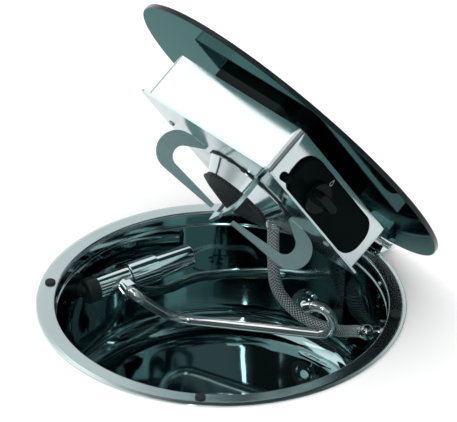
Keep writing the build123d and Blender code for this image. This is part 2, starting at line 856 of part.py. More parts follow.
# Cooktop plate, with holes for the burner, the screws and the two probes
burner_plane = Plane(origin=(hob_x, 0, plate_face), x_dir=(1, 0, 0), z_dir=(0, 1, 0))
electrode_x = hob_x + probe_circle * cos(radians(electrode_azimuth))
electrode_y = probe_circle * sin(radians(electrode_azimuth))
thermocouple_x = hob_x + probe_circle * cos(radians(thermocouple_azimuth))
thermocouple_y = probe_circle * sin(radians(thermocouple_azimuth))
with BuildPart() as cooktop_plate:
    with BuildSketch(Plane.XY.offset(plate_face)):
        with Locations((hob_x, 0)):
            RectangleRounded(box_length + 2 * plate_lip_x, box_width + 2 * plate_lip_y, plate_bend)
            Circle(burner_hole_radius, mode=Mode.SUBTRACT)
        with Locations(*screw_points):
            Circle(plate_screw_radius + hole_slack, mode=Mode.SUBTRACT)
        with Locations((electrode_x, electrode_y)):
            Circle(electrode_radius + hole_slack, mode=Mode.SUBTRACT)
        with Locations((thermocouple_x, thermocouple_y)):
            Circle(thermocouple_radius + hole_slack, mode=Mode.SUBTRACT)
    extrude(amount=plate_thickness)

# Plate screws
with BuildPart() as plate_screws:
    with BuildSketch(Plane.XY.offset(plate_face - plate_head_height)):
        with Locations(*screw_points):
            Circle(plate_head_radius)
    extrude(amount=plate_head_height)
    fillet(plate_screws.edges().group_by(Axis.Z)[0], radius=plate_head_height / 2)
    with BuildSketch(Plane.XY.offset(plate_face)):
        with Locations(*screw_points):
            Circle(plate_screw_radius)
    extrude(amount=plate_thickness + plate_screw_depth)

# Burner gasket on the plate
with BuildPart() as burner_gasket:
    lathe(
        burner_plane,
        [
            (burner_hole_radius + hole_slack, 0),
            (gasket_radius, 0),
            (gasket_radius, gasket_thickness),
            (burner_hole_radius + hole_slack, gasket_thickness),
        ],
    )

# Burner cup: spun steel cone on a flange
cup_flange_top = gasket_thickness + cup_flange_thickness
with BuildPart() as burner_cup:
    lathe(
        burner_plane,
        [
            (burner_hole_radius + hole_slack, gasket_thickness),
            (cup_flange_radius, gasket_thickness),
            (cup_flange_radius, cup_flange_top),
            (cup_foot_radius, cup_flange_top),
            (cup_top_radius, cup_top),
            (cup_top_radius - cup_wall, cup_top),
            (cup_foot_radius - cup_wall, cup_flange_top),
            (burner_hole_radius + hole_slack, cup_flange_top),
        ],
    )

# Burner body: casting that hangs through the plate, with its mixing tube
mixing_plane = Plane(origin=(hob_x, 0, knob_z), x_dir=(0, 1, 0), z_dir=(-1, 0, 0))
injector_back_x = burner_pipe_x + burner_pipe_run + holder_thickness
injector_tip_x = injector_back_x + injector_length + injector_tip_length
mixing_reach = hob_x - injector_tip_x - injector_gap
with BuildPart() as burner_body:
    lathe(
        burner_plane,
        [
            (0, cup_top),
            (burner_trunk_radius, cup_top),
            (burner_trunk_radius, -plate_thickness),
            (burner_flange_radius, -plate_thickness),
            (burner_flange_radius, -plate_thickness - burner_flange_thickness),
            (burner_stem_radius, -plate_thickness - burner_flange_thickness),
            (burner_stem_radius, -plate_thickness - burner_stem_height),
            (0, -plate_thickness - burner_stem_height),
        ],
    )
    rod(mixing_plane, mixing_tube_radius, mixing_reach)
    rod(mixing_plane, burner_bore_radius, mixing_reach, Mode.SUBTRACT)

# Burner ring: black crown with a row of flame ports
port_top = cup_top + port_ring_height
port_height = plate_face - cup_top - port_ring_height / 2
with BuildPart() as burner_ring:
    lathe(
        burner_plane,
        [
            (port_ring_bore, cup_top),
            (port_ring_radius, cup_top),
            (port_ring_radius, port_top),
            (port_ring_bore, port_top),
        ],
    )
    with Locations((hob_x, 0, port_height)):
        with PolarLocations(port_ring_radius, port_count):
            Box(2 * port_depth, port_width, port_ring_height / 2, mode=Mode.SUBTRACT)

# Burner cap: black enamelled cone
with BuildPart() as burner_cap:
    lathe(
        burner_plane,
        [
            (0, port_top),
            (cap_radius, port_top),
            (cap_radius, port_top + cap_edge),
            (cap_shoulder_radius, port_top + cap_shoulder_height),
            (cap_nose_radius, port_top + cap_height),
            (0, port_top + cap_height),
        ],
    )
    fillet(burner_cap.edges().filter_by(GeomType.CIRCLE).group_by(Axis.Z)[0], radius=cap_nose_radius / 4)

# Injector: hexagon jet that faces the mixing tube
injector_plane = Plane(origin=(injector_back_x, 0, knob_z), x_dir=(0, 1, 0), z_dir=(1, 0, 0))
with BuildPart() as injector:
    hexagon(injector_plane, injector_flats, injector_length)
    rod(injector_plane.offset(injector_length), injector_tip_radius, injector_tip_length)

# Injector holder: strap hung from the box
holder_bottom = knob_z - holder_drop
with BuildPart() as injector_holder:
    with BuildSketch(Plane.XY.offset(holder_bottom)):
        with Locations((injector_back_x - holder_thickness / 2, 0)):
            Rectangle(holder_thickness, holder_width)
    extrude(amount=box_ceiling - holder_bottom)


def bent_pipe(points):
    """Round pipe along straight runs with one bend radius."""
    corners = [Vector(*point) for point in points]
    with BuildLine() as route:
        FilletPolyline(*corners, radius=pipe_bend)
    with BuildSketch(Plane(origin=corners[0], z_dir=corners[1] - corners[0])) as section:
        Circle(pipe_radius)
    sweep(section.sketch, path=route.wire())


# Burner pipe from the valve to the injector
with BuildPart() as burner_pipe:
    bent_pipe(
        [
            (injector_back_x - holder_thickness, 0, knob_z),
            (burner_pipe_x, 0, knob_z),
            (burner_pipe_x, port_y, knob_z),
            (knob_x - valve_length / 2, port_y, knob_z),
        ]
    )

# Supply pipe from the hose elbow to the valve
with BuildPart() as supply_pipe:
    bent_pipe(
        [
            (lid_neck_start, lid_ball.Y, lid_ball.Z),
            (supply_pipe_x, lid_ball.Y, lid_ball.Z),
            (supply_pipe_x, port_y, knob_z),
            (knob_x + valve_length / 2, port_y, knob_z),
        ]
    )

# Hose elbow in the hob's end wall: its arm hangs straight down with the lid open
with BuildPart() as hose_elbow:
    with Locations(lid_ball):
        Sphere(elbow_ball_radius)
    rod(lid_outlet_plane, elbow_arm_radius, elbow_arm)
    rod(lid_neck_plane, elbow_neck_radius, lid_ball.X - lid_neck_start)
    rod(lid_neck_plane.offset(box_end - lid_neck_start), lid_elbow_flange_radius, lid_elbow_flange)

# Gas valve against the inside of the control wall
with BuildPart() as gas_valve:
    with BuildSketch(knob_plane):
        Rectangle(valve_length, valve_height)
    extrude(amount=valve_depth)
    rod(knob_plane, stem_radius + running_fit, stem_seat + knob_travel + moving_gap, Mode.SUBTRACT)

# Valve stem: turns with the knob, and slides in as it is pressed
stem_back = box_inner_front + stem_seat
stem_plane = Plane(origin=(knob_x, stem_back, knob_z), x_dir=(1, 0, 0), z_dir=(0, -1, 0))
with BuildPart() as valve_stem:
    rod(stem_plane, stem_radius, stem_back - knob_back + stem_grip)

# Push collar: ring on the stem that slides in the fascia and doesn't turn
fascia_face_plane = Plane(origin=(knob_x, fascia_face, knob_z), x_dir=(1, 0, 0), z_dir=(0, 1, 0))
with BuildPart() as push_collar:
    rod(fascia_face_plane, collar_ring_radius, collar_ring_thickness)
    rod(fascia_face_plane, stem_radius + running_fit, collar_ring_thickness, Mode.SUBTRACT)

# Control knob: round skirt with a grip bar across it
knob_base_plane = Plane(origin=(knob_x, knob_back, knob_z), x_dir=(1, 0, 0), z_dir=(0, -1, 0))
with BuildPart() as control_knob:
    rod(knob_base_plane, knob_skirt_radius, knob_skirt)
    with BuildSketch(knob_base_plane.offset(knob_skirt)):
        SlotOverall(2 * (knob_skirt_radius - knob_grip_margin), knob_grip_width)
    extrude(amount=knob_grip)
    fillet(control_knob.edges().group_by(Axis.Y)[0], radius=knob_edge)
    rod(knob_base_plane, stem_radius + running_fit, stem_grip + moving_gap, Mode.SUBTRACT)

# Control fascia: black rounded panel on the control wall
fascia_plane = Plane(origin=(fascia_x, box_front, fascia_z), x_dir=(1, 0, 0), z_dir=(0, -1, 0))
with BuildPart() as control_fascia:
    with BuildSketch(fascia_plane):
        RectangleRounded(fascia_length, fascia_height, fascia_corner)
    extrude(amount=fascia_thickness)
    fillet(control_fascia.edges().group_by(Axis.Y)[0], radius=fascia_edge)
    rod(fascia_face_plane, collar_ring_radius + 2 * running_fit, fascia_thickness, Mode.SUBTRACT)

# Igniter: tube behind the wall with a sprung button in it
button_bore = button_length - button_stand - box_sheet + button_travel + moving_gap
with BuildPart() as igniter_body:
    rod(button_plane, igniter_radius, igniter_length)
    rod(button_plane, button_radius + 2 * running_fit, button_bore, Mode.SUBTRACT)
button_face_plane = Plane(
    origin=(button_x, box_front - button_stand, button_z),
    x_dir=(1, 0, 0),
    z_dir=(0, 1, 0),
)
with BuildPart() as igniter_button:
    rod(button_face_plane, button_radius, button_length)
    fillet(igniter_button.edges().filter_by(GeomType.CIRCLE).group_by(Axis.Y)[0], radius=knob_edge)


def probe(x, y, radius, reach):
    """Rod through the plate with a collar under it."""
    rod(Plane(origin=(x, y, plate_face - reach)), radius, reach + plate_thickness + probe_depth)
    rod(Plane(origin=(x, y, plate_face - probe_collar_height)), probe_collar_radius, probe_collar_height)


# Spark electrode: ceramic rod with a wire tip
with BuildPart() as spark_electrode:
    probe(electrode_x, electrode_y, electrode_radius, electrode_reach)
    wire_plane = Plane(origin=(electrode_x, electrode_y, plate_face - spark_wire_reach))
    rod(wire_plane, spark_wire_radius, spark_wire_reach)

# Thermocouple of the flame guard
with BuildPart() as thermocouple:
    probe(thermocouple_x, thermocouple_y, thermocouple_radius, thermocouple_reach)

# Pan supports: flat strips bent like a hook, welded on edge to the plate
bend_centre = support_height - support_bend_radius
outer_foot_lean = radians(support_outer_foot)
inner_foot_lean = radians(support_inner_foot)
outer_foot = (
    support_bend_x + support_bend_radius * sin(outer_foot_lean),
    bend_centre - support_bend_radius * cos(outer_foot_lean),
)
inner_foot = (
    support_inner_x + support_inner_radius * cos(inner_foot_lean),
    bend_centre - support_inner_radius * sin(inner_foot_lean),
)
pan_supports = {}
for name, azimuth in support_azimuths.items():
    along = (cos(radians(azimuth)), sin(radians(azimuth)), 0)
    support_plane = Plane(origin=(hob_x, 0, plate_face), x_dir=along, z_dir=(-along[1], along[0], 0))
    with BuildPart() as pan_support:
        with BuildSketch(support_plane):
            with BuildLine():
                Polyline(
                    outer_foot,
                    (support_root_outer, 0),
                    (support_root_inner, 0),
                    (support_root_inner, support_root_step),
                    inner_foot,
                )
                ThreePointArc(
                    inner_foot,
                    (support_inner_x + support_inner_radius, bend_centre),
                    (support_inner_x, bend_centre + support_inner_radius),
                )
                Polyline(
                    (support_inner_x, bend_centre + support_inner_radius),
                    (support_tip_radius, support_height - support_tip_depth),
                    (support_tip_radius, support_height),
                    (support_bend_x, support_height),
                )
                ThreePointArc(
                    (support_bend_x, support_height),
                    (support_bend_x + support_bend_radius, bend_centre),
                    outer_foot,
                )
            make_face()
        extrude(amount=support_thickness / 2, both=True)
    pan_supports[name] = pan_support

# Tap mount: black collar with a flange seated on the back wall and a neck through it
with BuildPart() as tap_mount:
    rod(tap_plane.offset(-tap_collar_back), tap_collar_radius, tap_collar_back + tap_collar_front)
    fillet(tap_mount.edges().sort_by(Axis(tap_foot, tap_direction))[0], radius=tap_collar_edge)
    rod(tap_wall_plane.offset(-tap_flange), tap_flange_radius, 2 * tap_flange)
    wall_cone(0, Mode.INTERSECT)
    rod(tap_wall_plane.offset(-tap_foot_length), tap_neck_radius, tap_foot_length + tap_neck_length)

# Tap back nut outside the wall
with BuildPart() as tap_back_nut:
    wall_nut(tap_wall_plane, tap_nut_flats, tap_nut_height, tap_neck_radius + running_fit)

# Water tail: stub that the supply hose is pushed on
with BuildPart() as water_tail:
    rod(tap_wall_plane.offset(tap_neck_length), tail_radius, tail_length)

# Tap spindle: fixed bar that the sleeve and the handle turn on
with BuildPart() as tap_spindle:
    rod(tap_plane.offset(tap_collar_front), spindle_radius, spindle_end - tap_collar_front)

# Tap sleeve: turns on the spindle and carries the spout's boss
sleeve_plane = tap_plane.offset(tap_collar_front + moving_gap)
sleeve_length = sleeve_end - tap_collar_front - moving_gap
with BuildPart() as tap_sleeve:
    rod(sleeve_plane, sleeve_radius, sleeve_length)
    fillet(tap_sleeve.edges().filter_by(GeomType.CIRCLE), radius=sleeve_edge)
    rod(spout_plane, boss_radius, boss_reach)
    rod(sleeve_plane, spindle_radius + running_fit, sleeve_length, Mode.SUBTRACT)
    rod(spout_plane.offset(boss_reach - spout_seat), spout_radius + running_fit, spout_seat, Mode.SUBTRACT)

# Spout nut on the boss
with BuildPart() as spout_nut:
    hexagon(spout_plane.offset(boss_reach), spout_nut_flats, spout_nut_height)
    rod(spout_plane.offset(boss_reach), spout_radius + running_fit, spout_nut_height, Mode.SUBTRACT)

# Spout tube: out of the nut, down the back wall, round the bowl and up in a curl
spout_start = spout_origin + spout_direction * (boss_reach - spout_seat + running_fit)
spout_elbow = spout_origin + spout_direction * elbow_reach
rise_direction = (spout_rise - spout_corner).normalized()
curl_up = (Vector(0, 0, 1) - rise_direction * rise_direction.Z).normalized()
curl_centre = spout_rise + curl_up * curl_radius


def curl_point(angle):
    """Point of the curl after it has turned by an angle."""
    forward = rise_direction * sin(radians(angle))
    upward = curl_up * cos(radians(angle))
    return curl_centre + (forward - upward) * curl_radius


with BuildPart() as spout_tube:
    with BuildLine():
        FilletPolyline(
            spout_start,
            spout_elbow,
            spout_corner,
            spout_rise,
            radius=[elbow_bend, spout_corner_bend],
        )
        ThreePointArc(spout_rise, curl_point(curl_angle / 2), curl_point(curl_angle))
    with BuildSketch(Plane(origin=spout_start, z_dir=spout_direction)):
        Circle(spout_radius)
    sweep()

# Spout nozzle: bored tip at the end of the curl
nozzle_direction = rise_direction * cos(radians(curl_angle)) + curl_up * sin(radians(curl_angle))
nozzle_plane = Plane(origin=curl_point(curl_angle), z_dir=nozzle_direction)
with BuildPart() as spout_nozzle:
    rod(nozzle_plane, nozzle_radius, nozzle_length)
    fillet(spout_nozzle.edges().filter_by(GeomType.CIRCLE), radius=nozzle_edge)
    rod(nozzle_plane.offset(nozzle_length), nozzle_bore_radius, -nozzle_bore_depth, Mode.SUBTRACT)

# Tap handle: stepped chrome barrel that turns on the end of the spindle
handle_start = sleeve_end + handle_gap
with BuildPart() as tap_handle:
    rod(tap_plane.offset(handle_start), handle_radius, handle_waist - handle_start)
    rod(tap_plane.offset(handle_waist), handle_grip_radius, tap_length - handle_waist)
    fillet(tap_handle.edges().sort_by(Axis(tap_foot, tap_direction))[-1], radius=handle_edge)
    rod(
        tap_plane.offset(handle_start),
        spindle_radius + running_fit,
        spindle_end - handle_start + moving_gap,
        Mode.SUBTRACT,
    )

fixed_pieces = {
    "sink_bowl": sink_bowl,
    "rim_seal": rim_seal,
    "rim_bumpers": rim_bumpers,
    "clamp_brackets": clamp_brackets,
    "clamp_screws": clamp_screws,
    "waste_strainer": waste_strainer,
    "waste_seal": waste_seal,
    "waste_body": waste_body,
    "waste_nut": waste_nut,
    "overflow_rosette": overflow_rosette,
    "overflow_nut": overflow_nut,
    "gas_elbow": gas_elbow,
    "gas_elbow_nut": gas_elbow_nut,
    "gas_tail": gas_tail,
    "gas_hose": gas_hose,
    "wall_ferrule": wall_ferrule,
    "hinge_base": hinge_base,
    "hinge_rivets": hinge_rivets,
    "hinge_pin": hinge_pin,
    "tap_mount": tap_mount,
    "tap_back_nut": tap_back_nut,
    "water_tail": water_tail,
    "tap_spindle": tap_spindle,
    "tap_sleeve": tap_sleeve,
    "spout_nut": spout_nut,
    "spout_tube": spout_tube,
    "spout_nozzle": spout_nozzle,
    "tap_handle": tap_handle,
}
lid_pieces = {
    "hinge_leaf": hinge_leaf,
    "glass_lid": glass_lid,
    "lid_spacers": lid_spacers,
    "spacer_screws": spacer_screws,
    "hob_box": hob_box,
    "plate_brackets": plate_brackets,
    "cooktop_plate": cooktop_plate,
    "plate_screws": plate_screws,
    "burner_gasket": burner_gasket,
    "burner_cup": burner_cup,
    "burner_body": burner_body,
    "burner_ring": burner_ring,
    "burner_cap": burner_cap,
    "injector": injector,
    "injector_holder": injector_holder,
    "burner_pipe": burner_pipe,
    "supply_pipe": supply_pipe,
    "hose_elbow": hose_elbow,
    "lid_ferrule": lid_ferrule,
    "gas_valve": gas_valve,
    "valve_stem": valve_stem,
    "push_collar": push_collar,
    "control_knob": control_knob,
    "control_fascia": control_fascia,
    "igniter_body": igniter_body,
    "igniter_button": igniter_button,
    "spark_electrode": spark_electrode,
    "thermocouple": thermocouple,
    **pan_supports,
}

os.makedirs("parts", exist_ok=True)
for name, piece in fixed_pieces.items():
    piece.part.label = name
    export_step(piece.part, f"parts/{name}.step")
for name, piece in lid_pieces.items():
    turned = piece.part.rotate(hinge_axis, lid_opening)
    turned.label = name
    export_step(turned, f"parts/{name}.step")
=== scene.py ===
import bmesh
import bpy
import numpy as np
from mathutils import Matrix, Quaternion, Vector


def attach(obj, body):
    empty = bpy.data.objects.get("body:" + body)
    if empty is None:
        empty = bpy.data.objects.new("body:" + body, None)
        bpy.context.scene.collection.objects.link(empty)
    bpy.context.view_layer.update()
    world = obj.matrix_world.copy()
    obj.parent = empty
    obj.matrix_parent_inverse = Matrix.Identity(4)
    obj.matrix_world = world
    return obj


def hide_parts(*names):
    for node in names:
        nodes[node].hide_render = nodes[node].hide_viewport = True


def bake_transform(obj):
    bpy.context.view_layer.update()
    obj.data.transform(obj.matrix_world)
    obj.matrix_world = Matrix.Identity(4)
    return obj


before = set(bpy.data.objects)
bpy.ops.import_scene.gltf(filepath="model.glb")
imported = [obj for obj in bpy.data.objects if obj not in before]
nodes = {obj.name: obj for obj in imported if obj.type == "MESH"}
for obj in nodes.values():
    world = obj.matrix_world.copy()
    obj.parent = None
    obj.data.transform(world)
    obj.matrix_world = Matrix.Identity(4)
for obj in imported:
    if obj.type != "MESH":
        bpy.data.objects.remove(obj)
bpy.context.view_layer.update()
scene = bpy.context.scene
scene.view_settings.view_transform = "Standard"

# Studio: a white worktop with a round cut-out that the sink hangs in, a pale backdrop behind it and a dark
# room in front, lit by four softboxes. The camera is a long lens about five metres away, looking down from
# the front left.
view_right = np.array([0.7715, -0.6360, 0.0])
view_back = np.array([-0.5330, -0.6465, 0.5457])
view_up = np.cross(view_back, view_right)
view_distance = 4.836
aim_right = 0.0069
aim_up = 0.1034
view_roll = 0.0096
camera_data = bpy.data.cameras.new("camera")
camera_data.sensor_width = 36.0
camera_data.lens = 336.6
camera_data.clip_end = 100.0
camera = bpy.data.objects.new("camera", camera_data)
scene.collection.objects.link(camera)
camera.location = view_back * view_distance
aim = Vector(view_right * aim_right + view_up * aim_up)
sight = (aim - camera.location).to_track_quat("-Z", "Y")
camera.rotation_mode = "QUATERNION"
camera.rotation_quaternion = sight @ Quaternion((0.0, 0.0, 1.0), view_roll)
scene.camera = camera

merge_distance = 1e-7


def grid_piece(name, points, wrap_rows=False, wrap_columns=False):
    """Smooth mesh over a grid of points (rows, columns, xyz): one quad between each four neighbours.
    A wrapped direction is closed from its last line back to its first, and doubled points are merged."""
    rows, columns = points.shape[:2]
    index = np.arange(rows * columns).reshape(rows, columns)
    if wrap_rows:
        index = np.vstack([index, index[:1]])
    if wrap_columns:
        index = np.hstack([index, index[:, :1]])
    corners = [index[:-1, :-1], index[1:, :-1], index[1:, 1:], index[:-1, 1:]]
    mesh = bpy.data.meshes.new(name)
    mesh.from_pydata(points.reshape(-1, 3), [], np.stack(corners, -1).reshape(-1, 4))
    merged = bmesh.new()
    merged.from_mesh(mesh)
    bmesh.ops.remove_doubles(merged, verts=merged.verts, dist=merge_distance)
    bmesh.ops.recalc_face_normals(merged, faces=merged.faces)
    merged.to_mesh(mesh)
    merged.free()
    mesh.shade_smooth()
    piece = bpy.data.objects.new(name, mesh)
    scene.collection.objects.link(piece)
    return piece


def angles_round(count):
    """Angles once round a circle, an even step apart: 2 pi n / count."""
    return np.linspace(0.0, 2.0 * np.pi, count, endpoint=False)


def turned_grid(profile, segments):
    """Profile of (radius, height) carried round the Z axis: (r cos a, r sin a, h)."""
    angle = angles_round(segments)
    radius = profile[:, :1]
    height = np.broadcast_to(profile[:, 1:], (len(profile), segments))
    return np.stack([radius * np.cos(angle), radius * np.sin(angle), height], -1)


def shader_of(material):
    """The material's Principled shader."""
    return material.node_tree.nodes["Principled BSDF"]


cutout_radius = 0.2088
worktop_reach = 40.0
worktop_level = -0.0002
worktop_ring_count = 40
worktop_segments = 256
worktop_rings = np.geomspace(cutout_radius, worktop_reach, worktop_ring_count)
worktop_profile = np.stack([worktop_rings, np.full(worktop_rings.size, worktop_level)], -1)
worktop = grid_piece("worktop", turned_grid(worktop_profile, worktop_segments), wrap_columns=True)
worktop_white = bpy.data.materials.new("worktop white")
worktop_white.use_nodes = True
worktop_shader = shader_of(worktop_white)
worktop_shader.inputs["Base Color"].default_value = (0.95, 0.95, 0.95, 1.0)
worktop_shader.inputs["Roughness"].default_value = 0.9
worktop_shader.inputs["Specular IOR Level"].default_value = 0.1
worktop.data.materials.append(worktop_white)

studio = bpy.data.worlds.new("studio")
scene.world = studio
studio.use_nodes = True
sky = studio.node_tree
sky_way = sky.nodes.new("ShaderNodeTexCoord")


def sky_toward(direction):
    """How far the sky's own direction points one way: the dot product of the two."""
    product = sky.nodes.new("ShaderNodeVectorMath")
    product.operation = "DOT_PRODUCT"
    product.inputs[1].default_value = direction
    sky.links.new(sky_way.outputs["Generated"], product.inputs[0])
    return product.outputs["Value"]


def sky_step(value, start, end, low, high):
    """Goes smoothly from low to high while the value goes from start to end."""
    step = sky.nodes.new("ShaderNodeMapRange")
    step.interpolation_type = "SMOOTHSTEP"
    step.inputs["From Min"].default_value = start
    step.inputs["From Max"].default_value = end
    step.inputs["To Min"].default_value = low
    step.inputs["To Max"].default_value = high
    sky.links.new(value, step.inputs["Value"])
    return step.outputs["Result"]


def sky_math(operation, first, second):
    """One sum on two of the sky's values."""
    sums = sky.nodes.new("ShaderNodeMath")
    sums.operation = operation
    sky.links.new(first, sums.inputs[0])
    sky.links.new(second, sums.inputs[1])
    return sums.outputs["Value"]


backdrop_side = (0.636, 0.7715, 0.0)
window_side = (-0.30, -0.72, 0.626)
diffuse_sky = 1.08
sky_rise = sky_toward((0.0, 0.0, 1.0))
sky_backdrop = sky_step(sky_toward(backdrop_side), start=0.05, end=0.30, low=0.03, high=0.86)
sky_ceiling = sky_step(sky_rise, start=0.79, end=0.90, low=1.0, high=0.10)
sky_window = sky_step(sky_toward(window_side), start=0.82, end=0.97, low=0.0, high=0.32)
sky_low = sky_step(sky_rise, start=0.04, end=0.20, low=1.0, high=0.0)
sky_upper = sky_math("MULTIPLY", sky_backdrop, sky_ceiling)
sky_pale = sky_math("MAXIMUM", sky_math("MAXIMUM", sky_upper, sky_window), sky_low)
sky_ray = sky.nodes.new("ShaderNodeLightPath")
sky_mix = sky.nodes.new("ShaderNodeMix")
sky_mix.inputs["B"].default_value = diffuse_sky
sky.links.new(sky_ray.outputs["Is Diffuse Ray"], sky_mix.inputs["Factor"])
sky.links.new(sky_pale, sky_mix.inputs["A"])
sky.links.new(sky_mix.outputs["Result"], sky.nodes["Background"].inputs["Color"])

# Each softbox has a name, its place, the point it faces, its width and height in metres, and its watts.
softboxes = [
    ("back_left", (-1.37, 2.75, 3.05), (0.0, 0.0, 0.15), 2.0, 2.0, 14.0),
    ("strip", (-2.6, -1.7, 1.9), (0.0, 0.0, 0.0), 0.14, 2.4, 10.0),
    ("left", (-1.72, 0.72, 2.95), (0.0, 0.0, 0.0), 2.5, 1.7, 16.0),
    ("top", (-1.30, -1.05, 3.05), (0.0, 0.0, 0.2), 0.5, 1.6, 4.0),
]
for name, place, target, width, height, power in softboxes:
    lamp = bpy.data.lights.new("softbox_" + name, "AREA")
    lamp.shape = "RECTANGLE"
    lamp.size = width
    lamp.size_y = height
    lamp.energy = power
    stand = bpy.data.objects.new("softbox_" + name, lamp)
    stand.location = place
    stand.rotation_euler = (Vector(target) - Vector(place)).to_track_quat("-Z", "Y").to_euler()
    stand.visible_camera = False
    scene.collection.objects.link(stand)

# Gas hose: rubber hose in a woven stainless braid, with a crimped steel ferrule on each end.
# It hangs from the hob's elbow, sags behind the spout and runs up to the elbow in the bowl's side.
hose_route = [
    (0.1190, 0.0520, 0.0290),
    (0.1190, 0.0520, -0.0310),
    (0.1280, 0.0530, -0.0670),
    (0.1500, 0.0280, -0.1010),
    (0.1660, -0.0150, -0.1010),
    (0.1620, -0.0490, -0.0800),
    (0.1437, -0.0823, -0.0567),
]
hose_diameter = 0.014
hose_length = 0.269
hose_rings = 700
hose_segments = 96
hose_side = (1.0, 0.0, 0.0)
strand_count = 10
strand_pitch = 0.045
strand_height = 0.0008
strand_share = 0.65
strand_lift = 0.35


def nurbs_points(name, route, samples):
    """Points along a smooth NURBS line whose control points are the route, an even distance apart."""
    curve = bpy.data.curves.new(name, "CURVE")
    curve.dimensions = "3D"
    spline = curve.splines.new("NURBS")
    spline.points.add(len(route) - 1)
    spline.points.foreach_set("co", np.c_[np.array(route), np.ones(len(route))].ravel())
    spline.order_u = 3
    spline.use_endpoint_u = True
    spline.resolution_u = 24
    holder = bpy.data.objects.new(name, curve)
    scene.collection.objects.link(holder)
    line = bpy.data.meshes.new_from_object(holder.evaluated_get(bpy.context.evaluated_depsgraph_get()))
    found = np.empty(len(line.vertices) * 3)
    line.vertices.foreach_get("co", found)
    found = found.reshape(-1, 3)
    bpy.data.meshes.remove(line)
    bpy.data.objects.remove(holder)
    along = np.r_[0.0, np.cumsum(np.linalg.norm(np.diff(found, axis=0), axis=1))]
    even = np.linspace(0.0, along[-1], samples)
    return np.stack([np.interp(even, along, found[:, axis]) for axis in range(3)], -1)


def ring_grid(path, radius, across, upright, segments):
    """Rings round a path: centre + radius * (cos a * across + sin a * upright). The two directions are one
    pair for the whole path or a pair for each of its points. The radius has a row for each of them."""
    angle = angles_round(segments)[:, None]
    ring = np.cos(angle) * across[..., None, :] + np.sin(angle) * upright[..., None, :]
    return path[:, None] + radius[..., None] * ring


def effect_group(name, numbers, outputs):
    """Empty shader node group with number inputs and named outputs, and its inner start and end nodes."""
    group = bpy.data.node_groups.new(name, "ShaderNodeTree")
    for label, value in numbers.items():
        socket = group.interface.new_socket(label, in_out="INPUT", socket_type="NodeSocketFloat")
        socket.default_value = value
    for label, kind in outputs.items():
        group.interface.new_socket(label, in_out="OUTPUT", socket_type=kind)
    return group, group.nodes.new("NodeGroupInput"), group.nodes.new("NodeGroupOutput")


# One surface effect for all finishes: cloudy patches for colour and gloss, and broad waves and a fine grain
# as bump.
surface_play, play_in, play_out = effect_group(
    "surface play",
    {
        "Patch Scale": 20.0,
        "Grain Scale": 900.0,
        "Grain Depth": 0.1,
        "Wave Scale": 10.0,
        "Wave Depth": 0.0,
        "Rough Low": 0.1,
        "Rough High": 0.2,
    },
    {"Patch": "NodeSocketFloat", "Roughness": "NodeSocketFloat", "Normal": "NodeSocketVector"},
)
play_place = surface_play.nodes.new("ShaderNodeTexCoord")
play_links = surface_play.links
cloud_low = 0.3
cloud_high = 0.7


def play_noise(scale, detail):
    """Cloud noise on Object coordinates at one of the group's scales."""
    noise = surface_play.nodes.new("ShaderNodeTexNoise")
    noise.inputs["Detail"].default_value = detail
    play_links.new(play_place.outputs["Object"], noise.inputs["Vector"])
    play_links.new(play_in.outputs[scale], noise.inputs["Scale"])
    return noise.outputs["Fac"]


def play_range(cloud):
    """Map of the cloud noise's middle range, from 0 to 1 unless its ends are linked."""
    spread = surface_play.nodes.new("ShaderNodeMapRange")
    spread.inputs["From Min"].default_value = cloud_low
    spread.inputs["From Max"].default_value = cloud_high
    play_links.new(cloud, spread.inputs["Value"])
    return spread


def play_bump(depth, distance, height):
    """Bump of a noise, as strong as one of the group's depths."""
    bump = surface_play.nodes.new("ShaderNodeBump")
    bump.inputs["Distance"].default_value = distance
    play_links.new(height, bump.inputs["Height"])
    play_links.new(play_in.outputs[depth], bump.inputs["Strength"])
    return bump


patch_noise = play_noise("Patch Scale", detail=5.0)
patch_mask = play_range(patch_noise)
play_links.new(patch_mask.outputs["Result"], play_out.inputs["Patch"])
patch_rough = play_range(patch_noise)
play_links.new(play_in.outputs["Rough Low"], patch_rough.inputs["To Min"])
play_links.new(play_in.outputs["Rough High"], patch_rough.inputs["To Max"])
play_links.new(patch_rough.outputs["Result"], play_out.inputs["Roughness"])
wave_bump = play_bump("Wave Depth", distance=0.01, height=play_noise("Wave Scale", detail=1.0))
grain_bump = play_bump("Grain Depth", distance=0.0004, height=play_noise("Grain Scale", detail=3.0))
play_links.new(wave_bump.outputs["Normal"], grain_bump.inputs["Normal"])
play_links.new(grain_bump.outputs["Normal"], play_out.inputs["Normal"])


def finish(name, light, dark, metallic, **play):
    """Material whose colour goes from light to dark in patches, with the surface play's gloss and grain."""
    material = bpy.data.materials.new(name)
    material.use_nodes = True
    tree = material.node_tree
    shader = shader_of(material)
    shader.inputs["Metallic"].default_value = metallic
    effect = tree.nodes.new("ShaderNodeGroup")
    effect.name = "play"
    effect.node_tree = surface_play
    for label, value in play.items():
        effect.inputs[label.replace("_", " ").title()].default_value = value
    tint = tree.nodes.new("ShaderNodeMix")
    tint.name = "tint"
    tint.data_type = "RGBA"
    tint.inputs["A"].default_value = (*light, 1.0)
    tint.inputs["B"].default_value = (*dark, 1.0)
    tree.links.new(effect.outputs["Patch"], tint.inputs["Factor"])
    tree.links.new(tint.outputs["Result"], shader.inputs["Base Color"])
    tree.links.new(effect.outputs["Roughness"], shader.inputs["Roughness"])
    tree.links.new(effect.outputs["Normal"], shader.inputs["Normal"])
    return material


def dress(material, *names):
    """Gives CAD nodes a material."""
    for node_name in names:
        mesh = nodes[node_name].data
        mesh.materials.clear()
        mesh.materials.append(material)


hose_path = nurbs_points("hose_line", hose_route, hose_rings)
